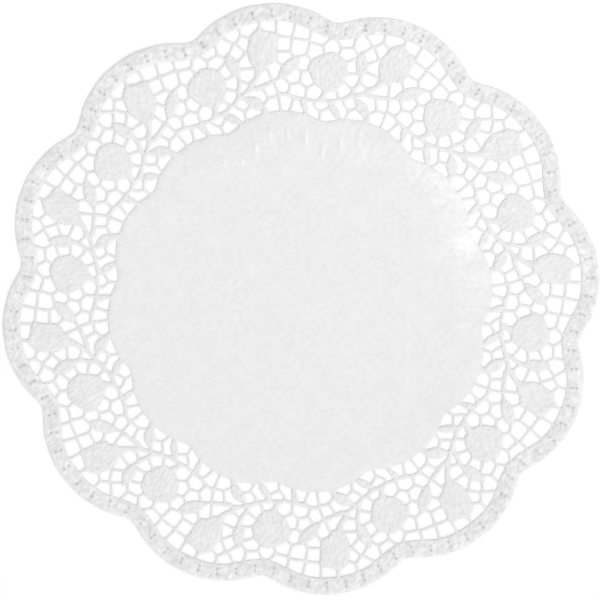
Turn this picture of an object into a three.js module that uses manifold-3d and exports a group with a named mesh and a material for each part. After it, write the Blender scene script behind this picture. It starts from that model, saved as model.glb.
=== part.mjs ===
// A round paper doily: one sheet of white paper, die-cut and embossed, lying flat.
// Millimetres, +Z up. The origin is at the middle of the underside, and the sheet is seen
// from above with its first notch FIRST_NOTCH degrees counter-clockwise from +X.

import * as THREE from 'three';
import { mergeVertices } from 'three/addons/utils/BufferGeometryUtils.js';
import Module from 'manifold-3d';

// Driving sizes
const THICKNESS = 1.0;          // sheet
const RAISED = 0.4;             // embossed flowers and leaves above the sheet
const REPEATS = 12;             // the lace design repeats once to each scallop
const REPEAT_ANGLE = 360 / REPEATS;
const FIRST_NOTCH = 22.3;
const BAR = 1.3;                // paper bar between two openings
const BORDER = 9.9;             // solid border inside the scalloped edge
const SWELL = 1.2;              // the border is wider by this on both sides of a scallop
const SWELL_ANGLE = 10.3;       // from the middle of the scallop
const SWELL_HALF = 2.4;         // degrees
const EMBOSS_INSET = 0.7;       // from a flower's edge to its raised part
const PAPER_COLOUR = 0xededeb;

// Facets
const EDGE_STEPS = 12;          // points to a scallop
const RAYS = 72;                // directions in which an opening's edge is looked for
const OPENING_TOLERANCE = 0.42; // how far a straight facet may leave the true edge
const EMBOSS_TOLERANCE = 0.55;

// Radius of a scalloped line: its mean, then one to four waves to a repeat, then how much
// deeper the notch is cut
const EDGE_WAVE = { mean: 175.8, waves: [4.9, -1.15, 0.42, -0.22], notch: 0.4 };
const MIDDLE_WAVE = { mean: 113.92, waves: [2.59, -0.6, 0.29, -0.2], notch: 0 };
const NOTCH_HALF = 1.0;         // degrees

// Angles are degrees counter-clockwise from the repeat's notch, radii are from the middle.

// Openings of one repeat. Reach is how strongly an opening pushes its bars away. Rows with
// the same name make one opening. Only the largest 25 are cut in the solid.
const OPENINGS = rows('name angle radius reach cut', [
  // along the border
  ['border_1', 3.1, 159.8, 3.9, true],
  ['border_2', 7.1, 161.7, 3.3, true],
  ['border_3', 10.5, 164.5, 4.2, true],
  ['border_4', 13.9, 165.6, 3.7, true],
  ['border_5', 17.7, 166.3, 4.5, true],
  ['border_6', 21.7, 165.5, 3.2, true],
  ['border_7', 23.8, 159.0, 3.4, true],
  ['border_8', 27.4, 159.3, 3.2, false],
  ['border_9', 30.3, 153.6, 3.6, true],
  // between the flowers
  ['upper_1', 3.8, 150.6, 4.0, true],
  ['upper_2', 7.5, 153.2, 4.3, true],
  ['upper_3', 11.0, 155.0, 3.7, true],
  ['upper_4', 11.2, 147.2, 3.2, false],
  ['upper_5', 6.5, 143.7, 3.5, true],
  ['upper_6', 13.6, 142.0, 3.0, true],
  ['upper_6', 13.9, 139.3, 1.9, true],
  ['upper_7', 19.3, 158.5, 2.4, false],
  ['upper_8', 21.7, 153.8, 3.1, false],
  ['upper_9', 19.8, 147.2, 3.5, false],
  ['upper_10', 25.2, 144.8, 3.5, false],
  ['upper_11', 26.7, 151.3, 3.3, true],
  // above the wavy stem
  ['lower_1', 3.5, 126.5, 3.8, true],
  ['lower_2', 5.6, 134.6, 3.8, true],
  ['lower_3', 8.9, 136.0, 3.8, false],
  ['lower_4', 8.0, 127.4, 4.1, true],
  ['lower_5', 12.0, 130.4, 3.1, true],
  ['lower_6', 15.4, 128.4, 3.7, false],
  ['lower_7', 16.5, 137.6, 3.6, true],
  ['lower_7', 18.7, 133.9, 2.0, true],
  ['lower_8', 17.8, 126.1, 3.9, true],
  ['lower_8', 20.8, 129.1, 3.0, true],
  ['lower_9', 20.2, 139.6, 3.9, true],
  ['lower_10', 21.9, 132.6, 2.8, false],
  ['lower_11', 24.4, 137.0, 3.7, false],
  ['lower_12', 26.0, 130.1, 4.2, false],
  ['lower_13', 29.0, 126.5, 3.9, false],
  // along the plain middle
  ['middle_1', 1.3, 119.4, 3.1, false],
  ['middle_2', 3.8, 114.3, 4.0, true],
  ['middle_2', 4.8, 118.4, 2.1, true],
  ['middle_3', 8.0, 117.6, 4.5, false],
  ['middle_4', 11.4, 120.4, 4.2, true],
  ['middle_5', 14.9, 119.9, 4.4, true],
  ['middle_6', 21.5, 117.3, 3.3, false],
  ['middle_7', 23.4, 123.3, 3.3, false],
  ['middle_8', 25.2, 118.7, 3.3, false],
  ['middle_8', 26.4, 121.5, 2.4, false],
  ['middle_9', 29.6, 114.6, 2.7, true],
  ['middle_9', 27.6, 112.6, 2.4, true],
]);

// A bent opening is looked at from a point at its bend
const BENDS = rows('name angle radius', [
  ['lower_8', 18.3, 127.8],
]);

// Leaves run from a root to a tip, and are widest at a share of their length
const LEAVES = rows('rootAngle rootRadius tipAngle tipRadius width widest bend', [
  [7.6, 147.3, 13.1, 134.8, 7.2, 0.44, -0.2],
  [22.5, 139.6, 23.8, 155.6, 7.0, 0.47, -0.4],
  [22.4, 127.1, 17.4, 118.0, 6.6, 0.50, 0.5],
  [29.5, 121.7, 25.0, 112.6, 4.3, 0.50, 0.3],
  [6.8, 123.0, 5.4, 113.4, 3.7, 0.32, 0.0],
]);

// Stems run through their points, given as angle and radius
const STEMS = rows('width points', [
  [1.4, [[-4.4, 125.4], [-3.4, 124.2], [-1.5, 123.3], [0.6, 122.3], [2.9, 121.8], [5.3, 122.0],
    [7.0, 122.8], [9.0, 124.0], [11.0, 125.4], [12.8, 126.5]]],
  [1.9, [[14.9, 133.0], [17.0, 132.0], [19.0, 131.4], [21.0, 130.9], [22.5, 129.2]]],
  [2.4, [[22.8, 128.6], [24.1, 127.6], [25.5, 125.4]]],
  [2.3, [[16.8, 142.5], [17.5, 139.5], [18.5, 136.6], [19.8, 133.6]]],
  [2.0, [[22.4, 141.0], [22.5, 138.5], [22.8, 135.5], [23.2, 133.0], [23.7, 130.0], [24.0, 128.6]]],
  [2.4, [[-0.1, 130.0], [0.3, 128.2], [1.1, 125.5], [1.75, 123.2]]],
  [2.9, [[18.0, 119.6], [17.3, 116.0]]],
]);

// Flowers are charted by their width at a few radii
const TALL_FLOWER = rows('radius from to', [
  [140.8, 16.0, 17.4],
  [143.0, 15.0, 18.2],
  [144.4, 14.7, 18.5],
  [145.4, 13.5, 18.7],
  [146.4, 12.7, 18.9],
  [148.0, 12.7, 19.1],
  [151.0, 12.6, 19.2],
  [155.0, 12.4, 19.1],
  [158.0, 12.2, 18.6],
  [160.5, 11.9, 18.3],
  [162.0, 12.1, 18.1],
  [162.9, 13.6, 17.8],
  [163.9, 14.5, 17.3],
  [164.8, 15.2, 16.9],
  [165.5, 15.5, 16.4],
  [166.8, 15.5, 16.1],
]);
const ROUND_FLOWER = rows('radius from to', [
  [128.6, -1.6, 1.5],
  [130.2, -2.2, 2.6],
  [131.6, -2.7, 3.4],
  [133.4, -3.2, 4.1],
  [136.0, -3.4, 4.7],
  [139.0, -4.1, 5.1],
  [141.0, -4.2, 5.6],
  [143.0, -3.9, 5.4],
  [145.0, -3.6, 4.9],
  [147.0, -3.3, 4.2],
  [149.2, -2.5, 2.8],
  [150.6, -1.1, 1.2],
  [151.6, -0.6, 0.7],
]);
const FLOWERS = [
  { sections: TALL_FLOWER, centre: { angle: 15.9, radius: 154 } },
  { sections: ROUND_FLOWER, centre: { angle: 0.6, radius: 140 } },
];

// Turns plain rows into objects with the named columns
function rows(columns, lines) {
  const names = columns.split(' ');
  return lines.map((line) => Object.fromEntries(names.map((name, i) => [name, line[i]])));
}

const radians = THREE.MathUtils.degToRad;

function polar(angle, radius) {
  return new THREE.Vector2(Math.cos(radians(angle)), Math.sin(radians(angle))).multiplyScalar(radius);
}

// Radius of a scalloped line at an angle from the notch
function waveRadius(wave, angle) {
  const turn = radians(REPEATS * (angle - REPEAT_ANGLE / 2));
  const aside = Math.abs(angle - REPEAT_ANGLE * Math.round(angle / REPEAT_ANGLE));
  const waves = wave.waves.reduce((sum, height, i) => sum + height * Math.cos((i + 1) * turn), 0);
  return wave.mean + waves - wave.notch * Math.exp(-aside / NOTCH_HALF);
}

// Width of the solid border at an angle from the notch
function borderWidth(angle) {
  const middle = REPEAT_ANGLE * (Math.floor(angle / REPEAT_ANGLE) + 0.5);
  const aside = Math.abs(angle - middle) - SWELL_ANGLE;
  return BORDER + SWELL * Math.exp(-((aside / SWELL_HALF) ** 4));
}

// Height of a straight-sided curve through rows that are sorted by radius
function along(sections, radius, column) {
  const last = sections.length - 1;
  const r = THREE.MathUtils.clamp(radius, sections[0].radius, sections[last].radius);
  const i = Math.max(1, sections.findIndex((row) => row.radius >= r));
  const [low, high] = [sections[i - 1], sections[i]];
  return THREE.MathUtils.mapLinear(r, low.radius, high.radius, low[column], high[column]);
}

// The distances below are negative inside the paper motif and positive outside it

function leafDistance(leaf, turn, p) {
  const root = polar(leaf.rootAngle + turn, leaf.rootRadius);
  const axis = polar(leaf.tipAngle + turn, leaf.tipRadius).sub(root);
  const length = axis.length();
  axis.divideScalar(length);
  const from = p.clone().sub(root);
  const share = from.dot(axis) / length;
  const onLeaf = THREE.MathUtils.clamp(share, 0, 1);
  const middle = leaf.bend * 4 * onLeaf * (1 - onLeaf);
  const aside = Math.abs(axis.cross(from) - middle);
  const swell = onLeaf ** (Math.log(0.5) / Math.log(leaf.widest));
  const half = leaf.width / 2 * Math.max(0, Math.sin(Math.PI * swell)) ** 0.8;
  if (share === onLeaf) return 0.85 * (aside - half);
  return Math.hypot((share - onLeaf) * length, Math.max(aside - half, 0));
}

function stemDistance(stem, turn, p) {
  const points = stem.points.map(([angle, radius]) => polar(angle + turn, radius));
  const nearest = new THREE.Vector2();
  let distance = Infinity;
  for (let i = 1; i < points.length; i++) {
    const along = points[i].clone().sub(points[i - 1]);
    const share = p.clone().sub(points[i - 1]).dot(along) / along.lengthSq();
    nearest.copy(points[i - 1]).addScaledVector(along, THREE.MathUtils.clamp(share, 0, 1));
    distance = Math.min(distance, nearest.distanceTo(p));
  }
  return distance - stem.width / 2;
}

function flowerDistance(flower, turn, p) {
  const { sections } = flower;
  const radius = p.length();
  const angle = THREE.MathUtils.radToDeg(p.angle() > Math.PI ? p.angle() - 2 * Math.PI : p.angle()) - turn;
  const aside = Math.max(along(sections, radius, 'from') - angle, angle - along(sections, radius, 'to'));
  const asideLength = radians(aside) * radius;
  const beyond = Math.max(sections[0].radius - radius, radius - sections.at(-1).radius);
  if (asideLength > 0 && beyond > 0) return Math.hypot(asideLength, beyond);
  return Math.max(asideLength, beyond);
}

// Opening sites and motifs of a repeat and of its two neighbours
const TURNS = [-REPEAT_ANGLE, 0, REPEAT_ANGLE];
const SITES = TURNS.flatMap((turn) => OPENINGS.map((row) => (
  { ...row, turn, place: polar(row.angle + turn, row.radius) })));
const MOTIFS = TURNS.flatMap((turn) => [
  ...LEAVES.map((leaf) => (p) => leafDistance(leaf, turn, p)),
  ...STEMS.map((stem) => (p) => stemDistance(stem, turn, p)),
  ...FLOWERS.map((flower) => (p) => flowerDistance(flower, turn, p)),
]);

// How far a point is from a site, less the site's reach, in the sense of a power diagram
function power(site, p) {
  return site.place.distanceToSquared(p) - site.reach ** 2;
}

// Distance from a point in an opening to the paper around it
function openingClearance(name, p) {
  const own = SITES.filter((site) => site.name === name && site.turn === 0);
  const others = SITES.filter((site) => !own.includes(site) && site.place.distanceTo(p) < 30);
  let clear = Infinity;
  for (const other of others) {
    const site = own.reduce((a, b) => (power(a, p) < power(b, p) ? a : b));
    const gap = (power(other, p) - power(site, p)) / (2 * site.place.distanceTo(other.place));
    clear = Math.min(clear, gap - BAR / 2);
  }
  for (const motif of MOTIFS) clear = Math.min(clear, motif(p));
  const angle = THREE.MathUtils.radToDeg(p.angle());
  const radius = p.length();
  clear = Math.min(clear, waveRadius(EDGE_WAVE, angle) - borderWidth(angle) - radius);
  return Math.min(clear, radius - waveRadius(MIDDLE_WAVE, angle));
}

// Walks out from a centre in every direction until the clearance is used up
function outlineAround(centre, clearance) {
  const points = [];
  for (let i = 0; i < RAYS; i++) {
    const direction = new THREE.Vector2(1, 0).rotateAround(new THREE.Vector2(), 2 * Math.PI * i / RAYS);
    const p = centre.clone();
    for (let step = 0; step < 60; step++) {
      const clear = clearance(p);
      p.addScaledVector(direction, 0.7 * clear);
      if (Math.abs(clear) < 0.01) break;
    }
    points.push(p);
  }
  return points;
}

// Keeps only the points that a closed outline needs to stay within the tolerance
function simplify(points, tolerance) {
  const centre = points.reduce((sum, p) => sum.add(p), new THREE.Vector2()).divideScalar(points.length);
  const far = (from) => points.indexOf(points.reduce((a, b) => (
    a.distanceTo(from) > b.distanceTo(from) ? a : b)));
  const start = far(centre);
  const loop = [...points.slice(start), ...points.slice(0, start + 1)];
  const keep = (from, to) => {
    const line = new THREE.Line3(
      new THREE.Vector3(loop[from].x, loop[from].y, 0), new THREE.Vector3(loop[to].x, loop[to].y, 0));
    let [worst, split] = [tolerance, -1];
    for (let i = from + 1; i < to; i++) {
      const p = new THREE.Vector3(loop[i].x, loop[i].y, 0);
      const off = line.closestPointToPoint(p, true, new THREE.Vector3()).distanceTo(p);
      if (off > worst) [worst, split] = [off, i];
    }
    return split < 0 ? [loop[from]] : [...keep(from, split), ...keep(split, to)];
  };
  const opposite = loop.indexOf(points[far(loop[0])]);
  return [...keep(0, opposite), ...keep(opposite, loop.length - 1)];
}

// Copies an outline of the first repeat to every repeat
function everyRepeat(points) {
  return Array.from({ length: REPEATS }, (_, i) => points.map((p) => (
    p.clone().rotateAround(new THREE.Vector2(), radians(FIRST_NOTCH + i * REPEAT_ANGLE)))));
}

// The sheet with its scalloped edge and its cut openings
function makeSheet() {
  const count = REPEATS * EDGE_STEPS;
  const edge = Array.from({ length: count }, (_, i) => {
    const angle = 360 * i / count;
    return polar(angle + FIRST_NOTCH, waveRadius(EDGE_WAVE, angle));
  });
  const shape = new THREE.Shape(edge);
  const names = new Set(OPENINGS.filter((row) => row.cut).map((row) => row.name));
  for (const name of names) {
    const eye = BENDS.find((row) => row.name === name) ?? OPENINGS.find((row) => row.name === name);
    const outline = outlineAround(polar(eye.angle, eye.radius), (p) => openingClearance(name, p));
    for (const copy of everyRepeat(simplify(outline, OPENING_TOLERANCE))) {
      shape.holes.push(new THREE.Path(copy));
    }
  }
  return new THREE.ExtrudeGeometry(shape, { depth: THICKNESS, bevelEnabled: false, steps: 1 });
}

// The raised part of each flower and of the two largest leaves, as pads that start in the sheet
function makePads() {
  const motifs = FLOWERS.map((flower) => (
    { centre: polar(flower.centre.angle, flower.centre.radius), distance: (p) => flowerDistance(flower, 0, p) }));
  for (const leaf of LEAVES.slice(0, 2)) {
    const centre = polar(leaf.rootAngle, leaf.rootRadius).lerp(polar(leaf.tipAngle, leaf.tipRadius), 0.5);
    motifs.push({ centre, distance: (p) => leafDistance(leaf, 0, p) });
  }
  return motifs.flatMap(({ centre, distance }) => {
    const outline = outlineAround(centre, (p) => -distance(p) - EMBOSS_INSET);
    return everyRepeat(simplify(outline, EMBOSS_TOLERANCE)).map((copy) => {
      const depth = THICKNESS / 2 + RAISED;
      const pad = new THREE.ExtrudeGeometry(new THREE.Shape(copy), { depth, bevelEnabled: false, steps: 1 });
      return pad.translate(0, 0, THICKNESS / 2);
    });
  });
}

// Solids are joined as manifolds
const wasm = await Module();
wasm.setup();

function toManifold(geometry) {
  const bare = geometry.clone();
  bare.deleteAttribute('normal');
  bare.deleteAttribute('uv');
  const merged = mergeVertices(bare, 1e-4);
  const mesh = new wasm.Mesh({
    numProp: 3,
    vertProperties: new Float32Array(merged.attributes.position.array),
    triVerts: new Uint32Array(merged.index.array),
  });
  return new wasm.Manifold(mesh);
}

function toGeometry(solid) {
  const mesh = solid.getMesh();
  const geometry = new THREE.BufferGeometry();
  geometry.setAttribute('position', new THREE.BufferAttribute(mesh.vertProperties, 3));
  geometry.setIndex(new THREE.BufferAttribute(mesh.triVerts, 1));
  geometry.computeVertexNormals();
  return geometry;
}

const solid = makePads().reduce((sum, pad) => sum.add(toManifold(pad)), toManifold(makeSheet()));
const paper = new THREE.MeshStandardMaterial({ color: PAPER_COLOUR, roughness: 0.85, metalness: 0 });

const doily = new THREE.Mesh(toGeometry(solid), paper);
doily.name = 'doily';

const group = new THREE.Group();
group.name = 'paper_doily';
group.add(doily);

export default group;
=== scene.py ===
"""Looks of a round paper doily: one thin sheet of white paper, die-cut and embossed.

The lace is charted for the repeat of one scallop and turned into twelve. The chart is in
millimetres and in degrees counter-clockwise from a repeat's notch. Points of the plane are
complex numbers, x + iy, until the mesh is made in metres.
"""
from types import SimpleNamespace

import bpy
import numpy as np
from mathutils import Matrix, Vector
from mathutils.geometry import delaunay_2d_cdt
from mathutils.kdtree import KDTree


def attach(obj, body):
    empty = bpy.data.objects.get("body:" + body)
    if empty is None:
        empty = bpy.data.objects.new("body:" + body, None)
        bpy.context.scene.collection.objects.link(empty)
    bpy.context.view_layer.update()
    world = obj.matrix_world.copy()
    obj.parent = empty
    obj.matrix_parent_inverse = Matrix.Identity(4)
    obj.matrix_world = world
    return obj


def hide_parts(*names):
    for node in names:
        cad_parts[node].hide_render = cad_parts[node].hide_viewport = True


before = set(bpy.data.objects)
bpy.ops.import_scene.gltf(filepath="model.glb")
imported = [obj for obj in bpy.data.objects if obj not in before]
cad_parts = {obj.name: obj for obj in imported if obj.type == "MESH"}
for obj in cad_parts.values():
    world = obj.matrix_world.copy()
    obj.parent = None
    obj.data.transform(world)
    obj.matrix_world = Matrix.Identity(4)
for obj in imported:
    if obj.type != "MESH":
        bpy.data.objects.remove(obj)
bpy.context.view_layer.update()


def rows(columns, *lines):
    """Turns plain rows into objects with the named columns."""
    names = columns.split()
    return [SimpleNamespace(**dict(zip(names, line))) for line in lines]


MM = 0.001              # a millimetre of the chart in metres

# Driving sizes
REPEATS = 12
REPEAT_ANGLE = 360 / REPEATS
TURNS = (-REPEAT_ANGLE, 0, REPEAT_ANGLE)    # of a repeat and its two neighbours
FIRST_NOTCH = 22.3      # angle of the first notch from +X
BAR = 1.3               # paper bar between two openings
BORDER = 9.9            # solid border inside the scalloped edge
SWELL = 1.2             # the border is wider by this on both sides of a scallop
SWELL_ANGLE = 10.3      # from the middle of the scallop
SWELL_HALF = 2.4        # degrees
PAPER = 0.14            # thickness of the paper
THINNEST = 0.03         # where it is pressed most

# Radius of a scalloped line: its mean, then one to four waves to a repeat, then how much
# deeper the notch is cut
EDGE_WAVE = SimpleNamespace(mean=175.8, waves=(4.9, -1.15, 0.42, -0.22), notch=0.4)
MIDDLE_WAVE = SimpleNamespace(mean=113.92, waves=(2.59, -0.6, 0.29, -0.2), notch=0)
NOTCH_HALF = 1.0        # degrees

# Outline of a leaf
LEAF_POWER = 0.8        # of the sine that it follows: less makes a leaf fuller
LEAF_SLANT = 0.85       # distance to it, for each unit straight across the leaf

# Relief of the embossing
CUT_ROUND = 1.0         # a cut edge is pressed down over this width
CUT_DROP = 0.12
STEM_RISE = 0.08
STEM_RUN = 1.1
LEAF_RISE = 0.07
LEAF_RUN = 1.7
MIDRIB_DROP = 0.08
FLOWER_RISE = 0.08
FLOWER_RUN = 2.6
PETAL_DROP = 0.09
LINE_HALF = 0.5         # half the width of a midrib or of a line between petals
LINE_FADE = 4           # such a line fades over 1/4 of its length at both ends
PLEAT_FADE = 3
BORDER_RISE = 0.04
BORDER_RUN = 1.2
BORDER_FLAT = 0.4       # from both of the border's lines to where its relief starts

PIN_HALF = 0.80         # half the width of a pinhole
PIN_DROP = 0.12
PIN_LIP = 0.04
CREASE_DROP = 0.05      # of the crease that joins a pair of pinholes

# Search for an opening's outline
RAYS = 120
WALK_STEPS = 45
WALK_SHARE = 0.7        # of the clearance, at each step
CORNER = 0.12           # softness of an opening's corners
NEAR_SITE = 27          # nothing further than this bounds an opening
NEAR_MOTIF = 15

# Spacing of the mesh
EDGE_POINTS = 1000      # of one repeat's scalloped edge, before they are evenly spaced
CUT_STEP = 0.9          # along the outer edge
OPENING_STEP = 1.02
CORNER_DRAW = 0.7       # see evenly_spaced
INSET = 0.42            # of the row of points beside a cut
INSET_LEAST = 0.8       # share of the inset that the row keeps from other cuts
LINE_STEP = 0.9         # along midribs and petal lines
LINE_ASIDE = 1.3        # of the rows beside such a line, in halves of its width
LINE_CLEAR = 0.4        # from these rows to those beside a cut
PIN_RING = 6            # points of a ring in a pinhole
PIN_INNER = 0.75        # radii of the two rings, in halves of a pinhole's width
PIN_OUTER = 1.5
ZONE_STEPS = {"middle": 2.8, "pleats": 1.0, "lace": 1.05, "flower": 0.9, "border": 1.0}
GRID_INSET = 0.3        # from the row beside a cut to the grid between the cuts
GRID_CLEAR = 0.55       # from the grid to any row, as a share of the grid's step
UNDER_STEP = 6.0        # of the underside, which is plain
UNDER_EDGE = 2
UNDER_INSET = 1.5
MERGE = 1e-6            # points that are nearer than this are one
SMOOTH_ANGLE = 50       # between faces, in degrees: an edge is hard where it is more

# Openings of one repeat. Reach is how strongly an opening pushes its bars away. Rows with
# the same name make one opening.
OPENINGS = rows(
    "name angle radius reach",
    # along the border
    ("border_1", 3.1, 159.8, 3.9),
    ("border_2", 7.1, 161.7, 3.3),
    ("border_3", 10.5, 164.5, 4.2),
    ("border_4", 13.9, 165.6, 3.7),
    ("border_5", 17.7, 166.3, 4.5),
    ("border_6", 21.7, 165.5, 3.2),
    ("border_7", 23.8, 159.0, 3.4),
    ("border_8", 27.4, 159.3, 3.2),
    ("border_9", 30.3, 153.6, 3.6),
    # between the flowers
    ("upper_1", 3.8, 150.6, 4.0),
    ("upper_2", 7.5, 153.2, 4.3),
    ("upper_3", 11.0, 155.0, 3.7),
    ("upper_4", 11.2, 147.2, 3.2),
    ("upper_5", 6.5, 143.7, 3.5),
    ("upper_6", 13.6, 142.0, 3.0),
    ("upper_6", 13.9, 139.3, 1.9),
    ("upper_7", 19.3, 158.5, 2.4),
    ("upper_8", 21.7, 153.8, 3.1),
    ("upper_9", 19.8, 147.2, 3.5),
    ("upper_10", 25.2, 144.8, 3.5),
    ("upper_11", 26.7, 151.3, 3.3),
    # above the wavy stem
    ("lower_1", 3.5, 126.5, 3.8),
    ("lower_2", 5.6, 134.6, 3.8),
    ("lower_3", 8.9, 136.0, 3.8),
    ("lower_4", 8.0, 127.4, 4.1),
    ("lower_5", 12.0, 130.4, 3.1),
    ("lower_6", 15.4, 128.4, 3.7),
    ("lower_7", 16.5, 137.6, 3.6),
    ("lower_7", 18.7, 133.9, 2.0),
    ("lower_8", 17.8, 126.1, 3.9),
    ("lower_8", 20.8, 129.1, 3.0),
    ("lower_9", 20.2, 139.6, 3.9),
    ("lower_10", 21.9, 132.6, 2.8),
    ("lower_11", 24.4, 137.0, 3.7),
    ("lower_12", 26.0, 130.1, 4.2),
    ("lower_13", 29.0, 126.5, 3.9),
    # along the plain middle
    ("middle_1", 1.3, 119.4, 3.1),
    ("middle_2", 3.8, 114.3, 4.0),
    ("middle_2", 4.8, 118.4, 2.1),
    ("middle_3", 8.0, 117.6, 4.5),
    ("middle_4", 11.4, 120.4, 4.2),
    ("middle_5", 14.9, 119.9, 4.4),
    ("middle_6", 21.5, 117.3, 3.3),
    ("middle_7", 23.4, 123.3, 3.3),
    ("middle_8", 25.2, 118.7, 3.3),
    ("middle_8", 26.4, 121.5, 2.4),
    ("middle_9", 29.6, 114.6, 2.7),
    ("middle_9", 27.6, 112.6, 2.4),
)

# These openings are looked at from another point than their site
EYES = rows(
    "name angle radius",
    ("lower_8", 18.3, 127.8),
    ("middle_6", 21.3, 117.0),
    ("middle_8", 25.0, 119.3),
)

# Leaves run from a root to a tip, and are widest at a share of their length
LEAVES = rows(
    "root_angle root_radius tip_angle tip_radius width widest bend",
    (7.6, 147.3, 13.1, 134.8, 7.2, 0.44, -0.2),
    (22.5, 139.6, 23.8, 155.6, 7.0, 0.47, -0.4),
    (22.4, 127.1, 17.4, 118.0, 6.6, 0.50, 0.5),
    (29.5, 121.7, 25.0, 112.6, 4.3, 0.50, 0.3),
    (6.8, 123.0, 5.4, 113.4, 3.7, 0.32, 0.0),
)

# Stems run through their points, given as angle and radius
STEMS = rows(
    "width points",
    (1.4, [(-4.4, 125.4), (-3.4, 124.2), (-1.5, 123.3), (0.6, 122.3), (2.9, 121.8),
           (5.3, 122.0), (7.0, 122.8), (9.0, 124.0), (11.0, 125.4), (12.8, 126.5)]),
    (1.9, [(14.9, 133.0), (17.0, 132.0), (19.0, 131.4), (21.0, 130.9), (22.5, 129.2)]),
    (2.4, [(22.8, 128.6), (24.1, 127.6), (25.5, 125.4)]),
    (2.3, [(16.8, 142.5), (17.5, 139.5), (18.5, 136.6), (19.8, 133.6)]),
    (2.0, [(22.4, 141.0), (22.5, 138.5), (22.8, 135.5), (23.2, 133.0), (23.7, 130.0),
           (24.0, 128.6)]),
    (2.4, [(-0.1, 130.0), (0.3, 128.2), (1.1, 125.5), (1.75, 123.2)]),
    (2.9, [(18.0, 119.6), (17.3, 116.0)]),
)

# Flowers are charted by their width at a few radii
TALL_FLOWER = rows(
    "radius start end",
    (140.8, 16.0, 17.4),
    (143.0, 15.0, 18.2),
    (144.4, 14.7, 18.5),
    (145.4, 13.5, 18.7),
    (146.4, 12.7, 18.9),
    (148.0, 12.7, 19.1),
    (151.0, 12.6, 19.2),
    (155.0, 12.4, 19.1),
    (158.0, 12.2, 18.6),
    (160.5, 11.9, 18.3),
    (162.0, 12.1, 18.1),
    (162.9, 13.6, 17.8),
    (163.9, 14.5, 17.3),
    (164.8, 15.2, 16.9),
    (165.5, 15.5, 16.4),
    (166.8, 15.5, 16.1),
)
ROUND_FLOWER = rows(
    "radius start end",
    (128.6, -1.6, 1.5),
    (130.2, -2.2, 2.6),
    (131.6, -2.7, 3.4),
    (133.4, -3.2, 4.1),
    (136.0, -3.4, 4.7),
    (139.0, -4.1, 5.1),
    (141.0, -4.2, 5.6),
    (143.0, -3.9, 5.4),
    (145.0, -3.6, 4.9),
    (147.0, -3.3, 4.2),
    (149.2, -2.5, 2.8),
    (150.6, -1.1, 1.2),
    (151.6, -0.6, 0.7),
)

# Lines between petals, in millimetres across and along a flower from its centre
TALL_PETALS = rows(
    "across along to_across to_along bend",
    (-0.4, -10.5, -5.6, 9.0, 1.6),
    (0.4, -10.5, 5.2, 9.4, -1.6),
    (-2.6, 0.0, -0.4, 10.6, 0.7),
    (2.2, 0.5, 1.8, 10.8, -0.7),
    (-6.2, -6.8, -8.2, 6.0, 0.8),
    (6.2, -6.8, 7.6, 5.6, -0.8),
)
ROUND_PETALS = rows(
    "across along to_across to_along bend",
    (-2.6, 1.0, 2.4, 2.0, 1.6),
    (2.8, 1.8, -1.8, -1.6, 1.8),
    (-4.8, -1.6, -1.2, 5.6, 1.6),
    (-1.0, 6.0, 6.0, 2.6, 1.4),
    (6.2, 2.0, 3.2, -5.0, 1.5),
    (2.6, -5.4, -5.4, -3.8, 1.6),
    (-8.2, -2.2, -5.0, 6.8, 1.4),
    (7.0, 5.6, 9.0, -1.4, 1.0),
    (6.6, -5.6, -0.6, -9.0, 1.0),
    (-2.4, -8.8, -8.0, -3.6, 1.0),
)
FLOWERS = rows(
    "sections petals angle radius",
    (TALL_FLOWER, TALL_PETALS, 15.9, 154.0),
    (ROUND_FLOWER, ROUND_PETALS, 0.6, 140.0),
)

# Pinholes of one repeat's border, in pairs from the outer one to the inner one, by angle and
# distance from the outline
PINS = rows(
    "angle inset to_angle to_inset",
    (2.0, 3.5, 2.15, 7.1),
    (5.5, 4.2, 5.85, 7.5),
    (9.3, 3.8, 9.5, 7.1),
    (13.1, 3.7, 13.1, 7.1),
    (16.9, 3.7, 16.85, 7.0),
    (20.75, 3.9, 20.5, 7.1),
    (24.5, 4.2, 24.2, 7.4),
    (28.1, 3.5, 28.0, 6.9),
)

# Patches of painted light by angle from +X: painted highlight where light is positive, and painted
# shade where light is negative
PAINTED_LIGHT_PATCHES = rows(
    "angle radius around across light",
    (20.0, 106.0, 8.5, 9.5, 0.125),
    (36.0, 111.0, 20.0, 9.0, 0.085),
    (6.0, 110.0, 12.0, 8.0, 0.050),
    (22.0, 96.0, 32.0, 12.0, 0.020),
    (49.0, 109.0, 12.0, 8.0, 0.025),
    (67.5, 97.0, 7.0, 7.0, 0.020),
    (111.0, 110.0, 36.0, 9.0, -0.035),
    (-37.0, 106.0, 20.0, 10.0, -0.018),
)

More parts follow.
